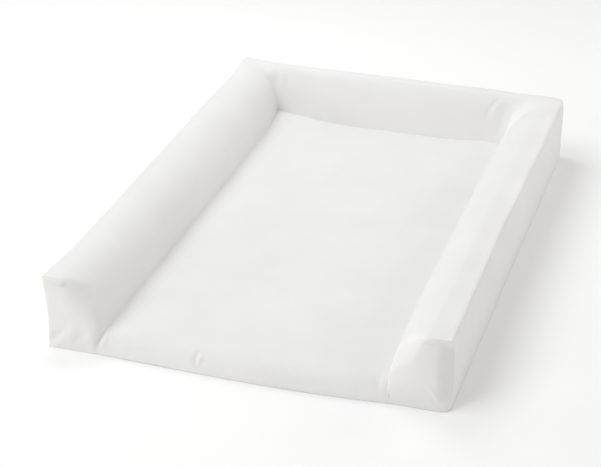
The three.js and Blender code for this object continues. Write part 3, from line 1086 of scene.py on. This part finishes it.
def zip_topstitching(surface):
    foot, top = SLOT_FOOT - STITCH_MARGIN, SLOT_TOP + STITCH_MARGIN
    outer = HALF_WIDTH - 4 * MM
    rows = [((-outer, BACK, top), (outer, BACK, top)), ((-outer, BACK, foot), (outer, BACK, foot))]
    for x in (-ZIP_END - STITCH_MARGIN, ZIP_END + STITCH_MARGIN):
        rows.append(((x, BACK, SLOT_FOOT), (x, BACK, SLOT_TOP)))
    stitches("zip_topstitching", surface, rows)


def finish_zip(surface):
    zip_coil("zip_teeth_upper", 1)
    zip_coil("zip_teeth_lower", -1)
    zip_topstitching(surface)
    metal, tape = metal_material(), tape_material()
    for name in ("zip_slider", "zip_pull_tab", "zip_bottom_stop", "zip_top_stop_upper", "zip_top_stop_lower"):
        repaint(name, metal)
        bevel(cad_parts[name], 0.22 * MM)
    for name in ("zip_tape_upper", "zip_tape_lower"):
        repaint(name, tape)
        bevel(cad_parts[name], 0.15 * MM)
    repaint("care_label", label_material())


# ---- Materials ----


class Nodes:
    """A material, its uniform settings, and helpers that add nodes to it and link them."""

    def __init__(self, name, uniform):
        self.material = bpy.data.materials.new(name)
        self.material.use_nodes = True
        self.tree = self.material.node_tree
        self.shader = self.tree.nodes["Principled BSDF"]
        for key, value in uniform.items():
            self.shader.inputs[key].default_value = value
        coordinates = self.node("ShaderNodeTexCoord")
        self.uv, self.place = coordinates.outputs["UV"], coordinates.outputs["Object"]

    def node(self, kind, inputs=None, **settings):
        made = self.tree.nodes.new(kind)
        for key, value in settings.items():
            setattr(made, key, value)
        for key, value in (inputs or {}).items():
            if isinstance(value, bpy.types.NodeSocket):
                self.tree.links.new(value, made.inputs[key])
            else:
                made.inputs[key].default_value = value
        return made

    def maths(self, operation, a, b=0.0):
        return self.node("ShaderNodeMath", {0: a, 1: b}, operation=operation).outputs[0]

    def blend(self, a, b, share):
        """The sum of two values, the first weighing share and the second the rest."""
        return self.maths("ADD", self.maths("MULTIPLY", a, share), self.maths("MULTIPLY", b, 1 - share))

    def noise(self, vector, scale, detail=3.0):
        inputs = {"Vector": vector, "Scale": scale, "Detail": detail}
        return self.node("ShaderNodeTexNoise", inputs).outputs["Fac"]

    def stretched(self, vector, scale):
        return self.node("ShaderNodeMapping", {"Vector": vector, "Scale": scale}).outputs[0]

    def between(self, value, start, end):
        inputs = {"Value": value, "To Min": start, "To Max": end}
        return self.node("ShaderNodeMapRange", inputs).outputs["Result"]

    def tint(self, value, dark, light):
        inputs = {"Fac": value, "Color1": (*dark, 1), "Color2": (*light, 1)}
        return self.node("ShaderNodeMixRGB", inputs).outputs["Color"]

    def bump(self, height, distance, strength, onto=None):
        inputs = {"Height": height, "Distance": distance, "Strength": strength}
        if onto is not None:
            inputs["Normal"] = onto
        return self.node("ShaderNodeBump", inputs).outputs["Normal"]

    def finished(self, **outputs):
        for name, output in outputs.items():
            self.tree.links.new(output, self.shader.inputs[name.replace("_", " ")])
        return self.material


def weave(nodes, vector, pitch):
    """Height of a plain weave: warp and weft threads that pass over each other in turn."""
    parts = nodes.node("ShaderNodeSeparateXYZ", {"Vector": vector}).outputs
    warp, weft = (
        nodes.maths("ABSOLUTE", nodes.maths("SINE", nodes.maths("MULTIPLY", parts[axis], math.pi / pitch)))
        for axis in ("X", "Y")
    )
    checks = {"Vector": vector, "Scale": 1 / pitch, "Color1": (0, 0, 0, 1), "Color2": (1, 1, 1, 1)}
    over = nodes.node("ShaderNodeTexChecker", checks).outputs["Fac"]
    return nodes.node("ShaderNodeMix", {0: over, 2: warp, 3: weft}).outputs[0]


def cloth_material(name, dark, light, pitch, relief):
    """Plain woven cotton: soft blotches, slubs along both threads, and the weave as a fine relief."""
    nodes = Nodes(name, {"Sheen Weight": 0.25, "Sheen Roughness": 0.5, "Specular IOR Level": 0.25})
    threads, cross_threads = (
        nodes.noise(nodes.stretched(nodes.uv, scale), 1.0) for scale in ((2600, 90, 1), (90, 2600, 1))
    )
    slubs = nodes.blend(threads, cross_threads, 0.5)
    shade = nodes.blend(nodes.noise(nodes.place, 14.0), slubs, 0.6)
    soft = nodes.bump(nodes.noise(nodes.place, 55.0, 4.0), 1.2 * MM, 0.22)
    return nodes.finished(
        Base_Color=nodes.tint(nodes.between(shade, -0.4, 1.4), dark, light),
        Roughness=nodes.between(shade, 0.78, 0.92),
        Normal=nodes.bump(weave(nodes, nodes.uv, pitch), relief, 0.35, soft),
    )


@cache
def foam_material():
    """Open-cell foam: small pits all over, and a shade that drifts."""
    nodes = Nodes("cut foam", {})
    cells = nodes.node("ShaderNodeTexVoronoi", {"Vector": nodes.place, "Scale": 900.0}).outputs["Distance"]
    return nodes.finished(
        Base_Color=nodes.tint(nodes.noise(nodes.place, 30.0), (0.76, 0.72, 0.58), (0.84, 0.81, 0.69)),
        Roughness=nodes.between(cells, 0.85, 1.0),
        Normal=nodes.bump(cells, 0.5 * MM, 0.5, nodes.bump(nodes.noise(nodes.place, 120.0), 0.6 * MM, 0.4)),
    )


@cache
def coil_material():
    """Satin plastic wire."""
    nodes = Nodes("zip coil", {})
    drift = nodes.noise(nodes.place, 160.0)
    return nodes.finished(
        Base_Color=nodes.tint(drift, (0.74, 0.735, 0.71), (0.8, 0.795, 0.77)),
        Roughness=nodes.between(drift, 0.32, 0.46),
        Normal=nodes.bump(nodes.noise(nodes.place, 2500.0), 0.05 * MM, 0.2),
    )


def thread_material():
    """Twisted sewing thread."""
    nodes = Nodes("sewing thread", {"Sheen Weight": 0.2})
    wave = {"Vector": nodes.place, "Scale": 700.0, "Distortion": 1.0}
    twist = nodes.node("ShaderNodeTexWave", wave).outputs["Fac"]
    return nodes.finished(
        Base_Color=nodes.tint(nodes.noise(nodes.place, 300.0), (0.8, 0.79, 0.765), (0.87, 0.865, 0.845)),
        Roughness=nodes.between(twist, 0.55, 0.75),
        Normal=nodes.bump(twist, 0.1 * MM, 0.5),
    )


def tape_material():
    """Zip tape: a tight weave whose diagonal turns back and forth across it, as a herringbone does."""
    nodes = Nodes("zip tape", {"Sheen Weight": 0.15})
    parts = nodes.node("ShaderNodeSeparateXYZ", {"Vector": nodes.place}).outputs
    zigzag = nodes.maths("PINGPONG", parts["Z"], 2 * MM)
    rib = nodes.maths("MULTIPLY", nodes.maths("ADD", parts["X"], zigzag), 2 * math.pi / (0.9 * MM))
    ribs = nodes.between(nodes.maths("SINE", rib), -0.5, 1.5)
    shade = nodes.blend(ribs, nodes.noise(nodes.place, 60.0), 0.5)
    return nodes.finished(
        Base_Color=nodes.tint(shade, (0.71, 0.705, 0.68), (0.79, 0.785, 0.765)),
        Roughness=nodes.between(shade, 0.7, 0.85),
        Normal=nodes.bump(ribs, 0.12 * MM, 0.5),
    )


def metal_material():
    """White lacquer over a zinc casting: smooth, with a faint ripple and wear that dulls it in places."""
    nodes = Nodes("lacquered zinc", {"Coat Weight": 0.4, "Coat Roughness": 0.15})
    drift = nodes.noise(nodes.place, 220.0)
    return nodes.finished(
        Base_Color=nodes.tint(drift, (0.72, 0.715, 0.7), (0.78, 0.775, 0.76)),
        Roughness=nodes.between(drift, 0.24, 0.4),
        Normal=nodes.bump(nodes.noise(nodes.place, 900.0, 1.0), 0.05 * MM, 0.15),
    )


def label_material():
    """Blank satin ribbon, with its threads running one way."""
    nodes = Nodes("label satin", {"Sheen Weight": 0.1})
    threads = nodes.noise(nodes.stretched(nodes.place, (3000, 1, 60)), 1.0)
    return nodes.finished(
        Base_Color=nodes.tint(threads, (0.84, 0.835, 0.82), (0.9, 0.895, 0.885)),
        Roughness=nodes.between(threads, 0.35, 0.5),
        Normal=nodes.bump(threads, 0.06 * MM, 0.3),
    )


# ---- Camera, light and floor ----


CAMERA_ANGLES = (16.05, 26.25, 1.12)  # azimuth, elevation and roll, in degrees
CAMERA_AIM = (-0.0451, 0.0101, 0)
CAMERA_DISTANCE = 2.4669
CAMERA_LENS = 111.7  # mm, on a sensor 36 mm wide


def make_camera():
    """The viewpoint: in front and to the right, a little above, through a long lens."""
    azimuth, elevation, roll = (math.radians(angle) for angle in CAMERA_ANGLES)
    back = Vector((
        math.sin(azimuth) * math.cos(elevation),
        -math.cos(azimuth) * math.cos(elevation),
        math.sin(elevation),
    ))
    right = (-back).cross(Vector((0, 0, 1))).normalized()
    up = right.cross(-back)
    turned_right = math.cos(roll) * right + math.sin(roll) * up
    turned_up = math.cos(roll) * up - math.sin(roll) * right
    data = bpy.data.cameras.new("camera")
    data.sensor_width = 36
    data.lens = CAMERA_LENS
    camera = bpy.data.objects.new("camera", data)
    place = Vector(CAMERA_AIM) + back * CAMERA_DISTANCE
    axes = Matrix((turned_right, turned_up, back)).transposed().to_4x4()
    camera.matrix_world = Matrix.Translation(place) @ axes
    bpy.context.scene.collection.objects.link(camera)
    bpy.context.scene.camera = camera


WORLD_STRENGTH = 0.41

WARM = (1.0, 0.975, 0.91)
COOL = (0.975, 0.985, 1.0)

# Softboxes: azimuth from +X and elevation in degrees, distance and width in metres, power in watts, colour.
SOFTBOXES = (
    ("key", 225, 55, 3.0, 2.0, 27.4, COOL),
    ("front fill", 240, 20, 3.0, 1.6, 14.4, WARM),
    ("left fill", 180, 10, 3.0, 2.0, 18.0, WARM),
    ("left top light", 180, 55, 3.0, 2.0, 3.2, COOL),
    ("head light", 135, 60, 1.5, 1.0, 5.5, COOL),
    ("right fill", 0, 25, 3.0, 2.0, 11.8, WARM),
    ("back fill", 45, 25, 3.0, 2.0, 17.4, WARM),
)


def make_light():
    world = bpy.data.worlds.new("studio")
    world.use_nodes = True
    background = world.node_tree.nodes["Background"]
    background.inputs["Color"].default_value = (1, 1, 1, 1)
    background.inputs["Strength"].default_value = WORLD_STRENGTH
    bpy.context.scene.world = world
    for name, azimuth, elevation, distance, width, power, colour in SOFTBOXES:
        data = bpy.data.lights.new(name, "AREA")
        data.shape = "DISK"
        data.size = width
        data.energy = power
        data.color = colour
        lamp = bpy.data.objects.new(name, data)
        turn, rise = math.radians(azimuth), math.radians(elevation)
        way = Vector((math.cos(rise) * math.cos(turn), math.cos(rise) * math.sin(turn), math.sin(rise)))
        lamp.location = way * distance
        lamp.rotation_mode = "QUATERNION"
        lamp.rotation_quaternion = way.to_track_quat("Z", "Y")
        bpy.context.scene.collection.objects.link(lamp)
    view = bpy.context.scene.view_settings
    view.view_transform = "Standard"
    view.look = "None"


FLOOR_REACH = 14.0
FLOOR_DROP = 0.4 * MM


def make_floor():
    nodes = Nodes("floor", {"Roughness": 0.9, "Specular IOR Level": 0.1})
    material = nodes.finished(
        Base_Color=nodes.tint(nodes.noise(nodes.place, 2.0), (0.965, 0.965, 0.965), (0.98, 0.98, 0.98))
    )
    reach = FLOOR_REACH
    square = ((-reach, -reach), (reach, -reach), (reach, reach), (-reach, reach))
    corners = [(x, y, -FLOOR_DROP) for x, y in square]
    new_object("floor", corners, [(0, 1, 2, 3)], material)


# ---- Putting it together ----


def make_cover():
    cover = whole_cover()
    round_front_ends(cover)
    blend_left_rounding(cover)
    shape_right_cap(cover)
    soften_mitres(cover)
    simulate(cover)
    pull_corners(cover)
    fine = refined(cover)
    bow_front(fine)
    slacken(fine)
    press_folds(fine)
    sew(fine)
    ease_crease(fine)
    fabric = cloth_material("cover fabric", (0.79, 0.786, 0.775), (0.86, 0.857, 0.848), 0.7 * MM, 0.12 * MM)
    panels = {name: shell_of(fine, name, fabric) for name in PANELS[:-1]}
    declare_sheets(fine, panels)
    bottom = bottom_cover()
    pull_corners(bottom)
    bow_front(bottom)
    slacken(bottom)
    lining = cloth_material("base fabric", (0.70, 0.69, 0.665), (0.76, 0.75, 0.73), 1.1 * MM, 0.2 * MM)
    declare_sheets(bottom, {PANELS[-1]: shell_of(bottom, PANELS[-1], lining, "base_fabric")})
    return fine


make_camera()
make_light()
make_floor()
cover = make_cover()
surface = BVHTree.FromPolygons(cover.points.tolist(), cover.quads.tolist())
make_foam(surface)
finish_zip(surface)
